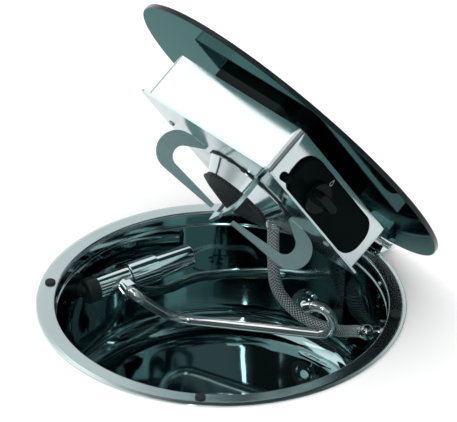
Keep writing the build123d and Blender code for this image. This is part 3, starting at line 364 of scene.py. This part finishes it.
# Weave: two lays of strands wind round the hose opposite ways. A strand's height is |cos| of its lay's
# angle, and the sign of the product of the two cosines says which lay is on top.
hose_angle = angles_round(hose_segments)[None]
hose_turn = 2.0 * np.pi * np.linspace(0.0, hose_length, hose_rings)[:, None] / strand_pitch
left_lay = strand_count * (hose_angle + hose_turn) / 2.0
right_lay = strand_count * (hose_angle - hose_turn) / 2.0
over = np.sign(np.cos(left_lay) * np.cos(right_lay))
left_strand = np.abs(np.cos(left_lay)) * (strand_share + strand_lift * over)
right_strand = np.abs(np.cos(right_lay)) * (strand_share - strand_lift * over)
weave = np.maximum(left_strand, right_strand)
hose_radius = hose_diameter / 2.0 - strand_height * (1.0 - weave)
hose_way = np.gradient(hose_path, axis=0)
hose_way /= np.linalg.norm(hose_way, axis=1, keepdims=True)
hose_across = np.cross(hose_way, hose_side)
hose_across /= np.linalg.norm(hose_across, axis=1, keepdims=True)
hose_upright = np.cross(hose_way, hose_across)
hose_grid = ring_grid(hose_path, hose_radius, hose_across, hose_upright, hose_segments)
hose = grid_piece("braided_hose", hose_grid, wrap_columns=True)
strand_shade_source = hose.data.attributes.new("strand", "FLOAT", "POINT")
strand_shade_source.data.foreach_set("value", weave.astype(np.float32).ravel())
braid = finish(
    "stainless braid",
    (0.74, 0.82, 0.82),
    (0.60, 0.69, 0.69),
    0.45,
    patch_scale=300.0,
    rough_low=0.24,
    rough_high=0.38,
    grain_depth=0.15,
)
# Painted shade: the braid's base colour goes to near black in the gaps between the strands, where the
# strand height stored on the mesh is low.
gap_painted_shade = (0.010, 0.018, 0.019, 1.0)
gap_edge = 0.55
strand_edge = 0.80
braid_nodes = braid.node_tree.nodes
braid_links = braid.node_tree.links
strand_read = braid_nodes.new("ShaderNodeAttribute")
strand_read.attribute_name = "strand"
strand_gap = braid_nodes.new("ShaderNodeMapRange")
strand_gap.inputs["From Min"].default_value = gap_edge
strand_gap.inputs["From Max"].default_value = strand_edge
braid_links.new(strand_read.outputs["Fac"], strand_gap.inputs["Value"])
strand_gap_shade = braid_nodes.new("ShaderNodeMix")
strand_gap_shade.data_type = "RGBA"
strand_gap_shade.inputs["A"].default_value = gap_painted_shade
braid_links.new(strand_gap.outputs["Result"], strand_gap_shade.inputs["Factor"])
braid_links.new(braid_nodes["tint"].outputs["Result"], strand_gap_shade.inputs["B"])
braid_links.new(strand_gap_shade.outputs["Result"], shader_of(braid).inputs["Base Color"])
hose.data.materials.append(braid)
ferrule_radius = 0.0086
ferrule_edge = 0.0012
ferrule_rings = 61
ferrule_segments = 72
ferrule_side = (0.31, 0.95, 0.0)
crimp_depth = 0.0007
crimp_width = 0.0009
lid_ferrule_length = 0.012
lid_crimps = [0.28, 0.5, 0.72]
wall_ferrule_length = 0.008
wall_crimps = [0.35, 0.65]
bright_crimp = finish(
    "crimped steel",
    (0.52, 0.64, 0.64),
    (0.42, 0.54, 0.54),
    1.0,
    patch_scale=180.0,
    rough_low=0.10,
    rough_high=0.22,
    grain_depth=0.1,
)


def crimped_ferrule(name, start, way, length, crimps):
    """Sleeve on a straight line: its radius dips by exp(-(s / w)^2) at each crimp, is rounded off at both
    ends, and goes to nothing there to close them."""
    along = np.linspace(0.0, length, ferrule_rings)
    dips = sum(np.exp(-(((along - crimp * length) / crimp_width) ** 2)) for crimp in crimps)
    end_ease = np.clip(np.minimum(along, length - along) / ferrule_edge, 0.0, 1.0)
    end_dip = 1.0 - np.sqrt(end_ease * (2.0 - end_ease))
    radius = np.r_[0.0, ferrule_radius - crimp_depth * dips - ferrule_edge * end_dip, 0.0]
    line = start + np.r_[0.0, along, length][:, None] * way
    across = np.cross(way, ferrule_side)
    across /= np.linalg.norm(across)
    sleeve_grid = ring_grid(line, radius[:, None], across, np.cross(way, across), ferrule_segments)
    sleeve = grid_piece(name, sleeve_grid, wrap_columns=True)
    sleeve.data.materials.append(bright_crimp)
    return sleeve


upward = np.array([0.0, 0.0, 1.0])
hose_first = np.array(hose_route[0])
hose_last = np.array(hose_route[-1])
hose_leaving = hose_last - np.array(hose_route[-2])
hose_leaving /= np.linalg.norm(hose_leaving)
lid_sleeve = crimped_ferrule("lid_sleeve", hose_first, upward, lid_ferrule_length, lid_crimps)
wall_sleeve = crimped_ferrule("wall_sleeve", hose_last, hose_leaving, wall_ferrule_length, wall_crimps)
for sleeve, body, node_name in [(lid_sleeve, "lid", "lid_ferrule"), (wall_sleeve, "root", "wall_ferrule")]:
    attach(sleeve, body)
    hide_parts(node_name)
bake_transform(hose)
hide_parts("gas_hose")

# Sink bowl: pressed from one sheet of stainless steel, polished to a mirror inside and brushed on its broad
# rim, which ends in a bright rolled edge. The rim lies on the worktop over a rubber seal and carries four
# rubber bumpers for the lid.
mirror_steel = finish(
    "mirror steel",
    (0.56, 0.67, 0.675),
    (0.50, 0.61, 0.615),
    1.0,
    patch_scale=9.0,
    rough_low=0.03,
    rough_high=0.09,
    grain_depth=0.0,
    wave_scale=16.0,
    wave_depth=0.06,
)
# Painted shade: below the rim the bowl's base colour goes over to a darker tint, so the inside reads darker
# than the rim.
inside_painted_shade = (0.27, 0.385, 0.39, 1.0)
inside_top = -0.0035
rim_level = -0.0010
rim_gloss = 0.26
bowl_nodes = mirror_steel.node_tree.nodes
bowl_links = mirror_steel.node_tree.links
bowl_shader = shader_of(mirror_steel)
bowl_place = bowl_nodes.new("ShaderNodeTexCoord")
bowl_axes = bowl_nodes.new("ShaderNodeSeparateXYZ")
bowl_links.new(bowl_place.outputs["Object"], bowl_axes.inputs["Vector"])
bowl_depth = bowl_nodes.new("ShaderNodeMapRange")
bowl_depth.inputs["From Min"].default_value = inside_top
bowl_depth.inputs["From Max"].default_value = rim_level
bowl_links.new(bowl_axes.outputs["Z"], bowl_depth.inputs["Value"])
bowl_shade_mix = bowl_nodes.new("ShaderNodeMix")
bowl_shade_mix.data_type = "RGBA"
bowl_shade_mix.inputs["A"].default_value = inside_painted_shade
bowl_links.new(bowl_depth.outputs["Result"], bowl_shade_mix.inputs["Factor"])
bowl_links.new(bowl_nodes["tint"].outputs["Result"], bowl_shade_mix.inputs["B"])
bowl_links.new(bowl_shade_mix.outputs["Result"], bowl_shader.inputs["Base Color"])
bowl_gloss = bowl_nodes.new("ShaderNodeMix")
bowl_gloss.inputs["B"].default_value = rim_gloss
bowl_links.new(bowl_depth.outputs["Result"], bowl_gloss.inputs["Factor"])
bowl_links.new(bowl_nodes["play"].outputs["Roughness"], bowl_gloss.inputs["A"])
bowl_links.new(bowl_gloss.outputs["Result"], bowl_shader.inputs["Roughness"])
dress(mirror_steel, "sink_bowl")
chrome = finish(
    "chrome",
    (0.76, 0.87, 0.87),
    (0.70, 0.81, 0.81),
    1.0,
    patch_scale=60.0,
    rough_low=0.02,
    rough_high=0.06,
    grain_depth=0.0,
)
# Rolled edge: a small circle carried round the rim.
edge_radius = 0.2092
edge_bead = 0.0009
edge_segments = 480
bead_segments = 16
bead_turn = angles_round(bead_segments)
bead_radius = edge_radius + edge_bead * np.cos(bead_turn)
bead_height = edge_bead + edge_bead * np.sin(bead_turn)
edge_grid = turned_grid(np.stack([bead_radius, bead_height], -1), edge_segments)
rolled_edge = grid_piece("rolled_edge", edge_grid, wrap_rows=True, wrap_columns=True)
rolled_edge.data.materials.append(chrome)
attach(rolled_edge, "root")
rubber = finish(
    "black rubber",
    (0.012, 0.018, 0.019),
    (0.020, 0.027, 0.028),
    0.0,
    patch_scale=60.0,
    rough_low=0.55,
    rough_high=0.75,
    grain_depth=0.3,
)
shader_of(rubber).inputs["Specular IOR Level"].default_value = 0.25
dress(rubber, "rim_seal", "rim_bumpers")

# Worktop clamps: zinc plated brackets bent from strip and welded to the bowl.
# A hexagon screw in each pulls the rim down onto the worktop.
zinc = finish(
    "zinc plate",
    (0.55, 0.60, 0.60),
    (0.42, 0.47, 0.475),
    1.0,
    patch_scale=120.0,
    rough_low=0.28,
    rough_high=0.48,
    grain_depth=0.2,
)
dress(zinc, "clamp_brackets", "clamp_screws")

# Waste: pierced steel strainer in the floor's recess, and a grey moulded cup and nut under it.
# The overflow's chrome rosette has the same moulded nut behind the wall.
grey_moulding = finish(
    "grey moulding",
    (0.42, 0.46, 0.46),
    (0.36, 0.40, 0.40),
    0.0,
    patch_scale=40.0,
    rough_low=0.38,
    rough_high=0.55,
    grain_depth=0.25,
)
dress(grey_moulding, "waste_body", "waste_nut", "overflow_nut")
dress(mirror_steel, "waste_strainer")
dress(rubber, "waste_seal")
dress(chrome, "overflow_rosette")

# Gas fittings: nickel plated elbows at both ends of the hose, where they show.
# Behind the bowl's wall the lower one is held by a plain brass nut and goes on in a copper tail.
nickel = finish(
    "nickel plate",
    (0.50, 0.56, 0.555),
    (0.40, 0.46, 0.455),
    1.0,
    patch_scale=80.0,
    rough_low=0.14,
    rough_high=0.28,
    grain_depth=0.1,
)
dress(nickel, "gas_elbow", "hose_elbow")
brass = finish(
    "brass",
    (0.68, 0.56, 0.30),
    (0.55, 0.43, 0.21),
    1.0,
    patch_scale=90.0,
    rough_low=0.18,
    rough_high=0.34,
    grain_depth=0.15,
)
dress(brass, "gas_elbow_nut")
copper = finish(
    "copper tube",
    (0.72, 0.42, 0.29),
    (0.52, 0.29, 0.20),
    1.0,
    patch_scale=70.0,
    rough_low=0.18,
    rough_high=0.40,
    grain_depth=0.15,
)
dress(copper, "gas_tail")

# Tap: black moulded collar on the back wall, with a brass nut and the water tail behind it.
# A chrome sleeve, the bent spout tube with its nozzle and the handle turn on its brass spindle.
black_moulding = finish(
    "black moulding",
    (0.008, 0.014, 0.015),
    (0.012, 0.020, 0.021),
    0.0,
    patch_scale=50.0,
    rough_low=0.30,
    rough_high=0.42,
    grain_depth=0.12,
)
shader_of(black_moulding).inputs["Specular IOR Level"].default_value = 0.3
dress(black_moulding, "tap_mount")
dress(brass, "tap_back_nut", "water_tail", "tap_spindle")
dress(chrome, "tap_sleeve", "spout_nut", "spout_nozzle", "tap_handle")
# Painted light: the spout tube gets a lighter, part diffuse copy of the chrome, so it shows a broad bright
# band.
spout_lit_chrome = finish(
    "spout lit chrome",
    (0.88, 0.94, 0.94),
    (0.82, 0.89, 0.89),
    0.88,
    patch_scale=60.0,
    rough_low=0.05,
    rough_high=0.11,
    grain_depth=0.0,
)
dress(spout_lit_chrome, "spout_tube")

# Hinge: two polished steel leaves that turn on a chrome pin.
# The base is riveted through the rim, and the other leaf carries the glass.
dress(chrome, "hinge_base", "hinge_leaf", "hinge_pin", "hinge_rivets")

# Glass lid: toughened dark glass disc with a ground and polished edge.
# Its underside is coated with a dark metallic print, which mirrors the room more strongly at a low angle.
hinge_line = np.array([0.222, 0.0, 0.0065])
lid_opening = np.radians(54.9)
glass_radius = 0.212
glass_bottom = 0.0065
glass_top = 0.0125
glass_edge = 0.0012
glass_edge_rings = 7
glass_segments = 320
glass_flat = 0.99


def opened(points):
    """Points drawn on the shut lid, turned about the hinge line to where the lid stands open:
    (x cos t + z sin t, y, z cos t - x sin t), measured from the hinge line."""
    x, y, z = np.moveaxis(points - hinge_line, -1, 0)
    turned_x = x * np.cos(lid_opening) + z * np.sin(lid_opening)
    turned_z = z * np.cos(lid_opening) - x * np.sin(lid_opening)
    return np.stack([turned_x, y, turned_z], -1) + hinge_line


# Disc: flat faces in rings, joined by an edge with a quarter round at its top and at its bottom.
edge_turn = np.linspace(0.0, np.pi / 2.0, glass_edge_rings)
edge_out = glass_radius - glass_edge + glass_edge * np.sin(edge_turn)
edge_rise = glass_edge - glass_edge * np.cos(edge_turn)
face_rings = np.array([0.0, 0.05, 0.10, 0.15, 0.19, 0.207, 0.2104])
glass_profile = np.concatenate(
    [
        np.stack([face_rings, np.full(face_rings.size, glass_top)], -1),
        np.stack([edge_out, glass_top - edge_rise], -1),
        np.stack([edge_out[::-1], glass_bottom + edge_rise[::-1]], -1),
        np.stack([face_rings[::-1], np.full(face_rings.size, glass_bottom)], -1),
    ]
)
glass = grid_piece("glass_disc", opened(turned_grid(glass_profile, glass_segments)), wrap_columns=True)
dark_glass = finish(
    "dark glass",
    (0.004, 0.011, 0.012),
    (0.006, 0.015, 0.016),
    0.0,
    patch_scale=12.0,
    rough_low=0.02,
    rough_high=0.06,
    grain_depth=0.0,
)
printed_glass = finish(
    "printed underside",
    (0.012, 0.030, 0.031),
    (0.016, 0.037, 0.038),
    1.0,
    patch_scale=14.0,
    rough_low=0.03,
    rough_high=0.07,
    grain_depth=0.0,
)
shader_of(printed_glass).inputs["Specular Tint"].default_value = (0.27, 0.42, 0.42, 1.0)
ground_edge = finish(
    "ground glass edge",
    (0.003, 0.009, 0.010),
    (0.006, 0.014, 0.015),
    0.0,
    patch_scale=160.0,
    rough_low=0.10,
    rough_high=0.20,
    grain_depth=0.05,
)
shader_of(ground_edge).inputs["Specular IOR Level"].default_value = 0.12
for glass_finish in (dark_glass, printed_glass, ground_edge):
    glass.data.materials.append(glass_finish)
glass_normals = np.empty(len(glass.data.polygons) * 3)
glass.data.polygons.foreach_get("normal", glass_normals)
glass_up = np.array([np.sin(lid_opening), 0.0, np.cos(lid_opening)])
facing_up = glass_normals.reshape(-1, 3) @ glass_up
glass_part = np.select([facing_up > glass_flat, facing_up < -glass_flat], [0, 1], 2)
glass.data.polygons.foreach_set("material_index", glass_part.astype(np.int32))
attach(glass, "lid")
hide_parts("glass_lid")

# Hob box: folded from polished steel sheet and screwed under the glass on two rubber bars.
# The cooktop plate closes its open side and is held to the box's brackets by four cross-head screws.
sheet_steel = finish(
    "polished sheet",
    (0.54, 0.62, 0.622),
    (0.50, 0.58, 0.582),
    1.0,
    patch_scale=18.0,
    rough_low=0.06,
    rough_high=0.14,
    grain_depth=0.03,
    wave_scale=7.0,
    wave_depth=0.05,
)
dress(sheet_steel, "hob_box")
dress(rubber, "lid_spacers")
dress(zinc, "spacer_screws", "plate_brackets")
# Painted shade: the cooktop plate gets a darker copy of the polished sheet, so it reads darker than the
# box.
plate_shaded_steel = finish(
    "plate steel shaded",
    (0.44, 0.555, 0.555),
    (0.38, 0.49, 0.49),
    1.0,
    patch_scale=24.0,
    rough_low=0.08,
    rough_high=0.18,
    grain_depth=0.05,
    wave_scale=7.0,
    wave_depth=0.04,
)
dress(plate_shaded_steel, "cooktop_plate")
plate_face = -0.0655
screw_places = [(0.0555, 0.100), (-0.0485, 0.100), (0.0555, -0.100), (-0.0485, -0.100)]
screw_turns = np.radians([18.0, 64.0, 40.0, 5.0])
screw_head_radius = 0.004
screw_head_height = 0.0018
screw_head_rings = 28
screw_head_roundness = 4
screw_shank_radius = 0.002
screw_length = 0.0105
screw_segments = 96
cross_half_width = 0.00055
cross_half_length = 0.0024
cross_depth = 0.0011
cross_slope = 0.0002
# Screw: a head that stands h * sqrt(1 - share^4) high, with a cross pressed into it, on a plain shank.
head_share = np.linspace(0.0, 1.0, screw_head_rings)
head_level = -screw_head_height * np.sqrt(1.0 - head_share**screw_head_roundness)
head_profile = np.stack([screw_head_radius * head_share, head_level], -1)
shank_corners = [(screw_shank_radius, 0.0), (screw_shank_radius, screw_length), (0.0, screw_length)]
screw = turned_grid(np.concatenate([head_profile, shank_corners]), screw_segments)
head = screw[: len(head_profile)]
bar_inside = [
    np.clip((cross_half_width - np.abs(head[..., axis])) / cross_slope, 0.0, 1.0)
    * np.clip((cross_half_length - np.abs(head[..., 1 - axis])) / cross_slope, 0.0, 1.0)
    for axis in (0, 1)
]
head[..., 2] += cross_depth * np.maximum(*bar_inside)
for number, (place, turn) in enumerate(zip(screw_places, screw_turns)):
    x = screw[..., 0] * np.cos(turn) - screw[..., 1] * np.sin(turn) + place[0]
    y = screw[..., 0] * np.sin(turn) + screw[..., 1] * np.cos(turn) + place[1]
    screw_grid = opened(np.stack([x, y, screw[..., 2] + plate_face], -1))
    cross_screw = grid_piece("cross_screw_%d" % number, screw_grid, wrap_columns=True)
    cross_screw.data.materials.append(zinc)
    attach(cross_screw, "lid")
    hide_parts("plate_screws")

# Burner: spun steel cup on a rubber gasket, a cast body inside it, and a black enamelled ring and cap on
# top. A brass injector in a zinc plated holder feeds it, through copper pipe.
dress(rubber, "burner_gasket")
dress(sheet_steel, "burner_cup")
cast_alloy = finish(
    "cast alloy",
    (0.55, 0.58, 0.58),
    (0.42, 0.45, 0.45),
    1.0,
    patch_scale=90.0,
    rough_low=0.38,
    rough_high=0.60,
    grain_depth=0.5,
)
dress(cast_alloy, "burner_body")
enamel = finish(
    "black enamel",
    (0.006, 0.010, 0.011),
    (0.014, 0.020, 0.021),
    0.0,
    patch_scale=220.0,
    rough_low=0.40,
    rough_high=0.62,
    grain_depth=0.35,
)
shader_of(enamel).inputs["Specular IOR Level"].default_value = 0.3
dress(enamel, "burner_ring", "burner_cap")
dress(brass, "injector")
dress(zinc, "injector_holder")
dress(copper, "burner_pipe", "supply_pipe")

# Controls: moulded black fascia on the box's front wall, with a white printed flame mark.
# The knob sits on the gas valve's stem over a chrome push collar, and the igniter's button is beside it.
fascia_black = finish(
    "fascia black",
    (0.0016, 0.0040, 0.0042),
    (0.0022, 0.0052, 0.0054),
    0.0,
    patch_scale=30.0,
    rough_low=0.16,
    rough_high=0.26,
    grain_depth=0.04,
)
shader_of(fascia_black).inputs["Specular IOR Level"].default_value = 0.008
dress(fascia_black, "control_fascia", "igniter_button")
dress(black_moulding, "igniter_body")
knob_black = finish(
    "knob black",
    (0.0016, 0.0040, 0.0042),
    (0.0026, 0.0058, 0.0060),
    0.0,
    patch_scale=90.0,
    rough_low=0.06,
    rough_high=0.14,
    grain_depth=0.03,
)
shader_of(knob_black).inputs["Specular IOR Level"].default_value = 0.05
dress(knob_black, "control_knob")
dress(chrome, "push_collar")
dress(brass, "gas_valve", "valve_stem")
print_white = finish(
    "white print",
    (0.72, 0.76, 0.76),
    (0.62, 0.66, 0.66),
    0.0,
    patch_scale=400.0,
    rough_low=0.40,
    rough_high=0.55,
    grain_depth=0.05,
)
fascia_face = -0.1130
print_height = 0.0002
drop_x = -0.0185
drop_z = -0.0190
drop_half_width = 0.0034
drop_half_height = 0.0042
drop_line = 0.0006
drop_point = 1.6
drop_segments = 96
# Flame mark: a raised line between the drop (w sin t sin(t / 2)^p, h cos t) and a smaller one inside it.
drop_turn = angles_round(drop_segments)
drop_side = drop_half_width * np.sin(drop_turn) * np.sin(drop_turn / 2.0) ** drop_point
drop_outline = np.stack([drop_side, drop_half_height * np.cos(drop_turn)], -1)
drop_inner = drop_outline * (1.0 - 2.0 * drop_line / (drop_half_width + drop_half_height))
drop_loops = [drop_inner, drop_inner, drop_outline, drop_outline]
drop_levels = [fascia_face, fascia_face - print_height, fascia_face - print_height, fascia_face]
drop_rows = [
    np.stack([drop_x + loop[:, 0], np.full(len(loop), level), drop_z + loop[:, 1]], -1)
    for loop, level in zip(drop_loops, drop_levels)
]
flame_mark = grid_piece("flame_mark", opened(np.array(drop_rows)), wrap_rows=True, wrap_columns=True)
flame_mark.data.materials.append(print_white)
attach(flame_mark, "lid")

# Probes: a glazed ceramic spark electrode, and the copper tip of the flame guard.
# Both stand beside the burner in holes of the cooktop plate.
ceramic = finish(
    "glazed ceramic",
    (0.80, 0.82, 0.80),
    (0.70, 0.72, 0.70),
    0.0,
    patch_scale=150.0,
    rough_low=0.12,
    rough_high=0.25,
    grain_depth=0.05,
)
dress(ceramic, "spark_electrode")
dress(copper, "thermocouple")

# Pan supports: four hooks cut from thick steel plate, brushed, and set on edge on the cooktop.
# A rippled weld bead runs along both sides of each foot.
satin_steel = finish(
    "satin steel",
    (0.38, 0.56, 0.56),
    (0.32, 0.49, 0.49),
    1.0,
    patch_scale=70.0,
    rough_low=0.34,
    rough_high=0.46,
    grain_depth=0.25,
)
dress(
    satin_steel,
    "pan_support_back_right",
    "pan_support_back_left",
    "pan_support_front_left",
    "pan_support_front_right",
)
hob_x = 0.0035
support_azimuths = (45.0, 135.0, 225.0, 315.0)
weld_start = 0.0622
weld_end = 0.0800
weld_side = 0.0022
weld_radius = 0.0014
weld_ripple = 0.12
weld_ripples = 11
weld_end_slope = 12.0
weld_rings = 90
weld_segments = 20
# Weld bead: a tube along the foot, whose radius ripples by a cosine and tapers at both ends.
weld_share = np.linspace(0.0, 1.0, weld_rings)
weld_swell = 1.0 + weld_ripple * np.cos(2.0 * np.pi * weld_ripples * weld_share)
weld_taper = np.sqrt(np.clip(weld_end_slope * np.minimum(weld_share, 1.0 - weld_share), 0.0, 1.0))
weld_size = (weld_radius * weld_swell * weld_taper)[:, None]
weld_along = weld_start + (weld_end - weld_start) * weld_share
weld_feet = [(azimuth, side) for azimuth in support_azimuths for side in (-1.0, 1.0)]
for number, (azimuth, side) in enumerate(weld_feet):
    outward = np.array([np.cos(np.radians(azimuth)), np.sin(np.radians(azimuth)), 0.0])
    sideways = np.array([-outward[1], outward[0], 0.0])
    foot = np.array([hob_x, 0.0, plate_face]) + side * weld_side * sideways
    bead = ring_grid(foot + weld_along[:, None] * outward, weld_size, sideways, upward, weld_segments)
    weld = grid_piece("weld_bead_%d" % number, opened(bead), wrap_columns=True)
    weld.data.materials.append(satin_steel)
    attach(weld, "lid")
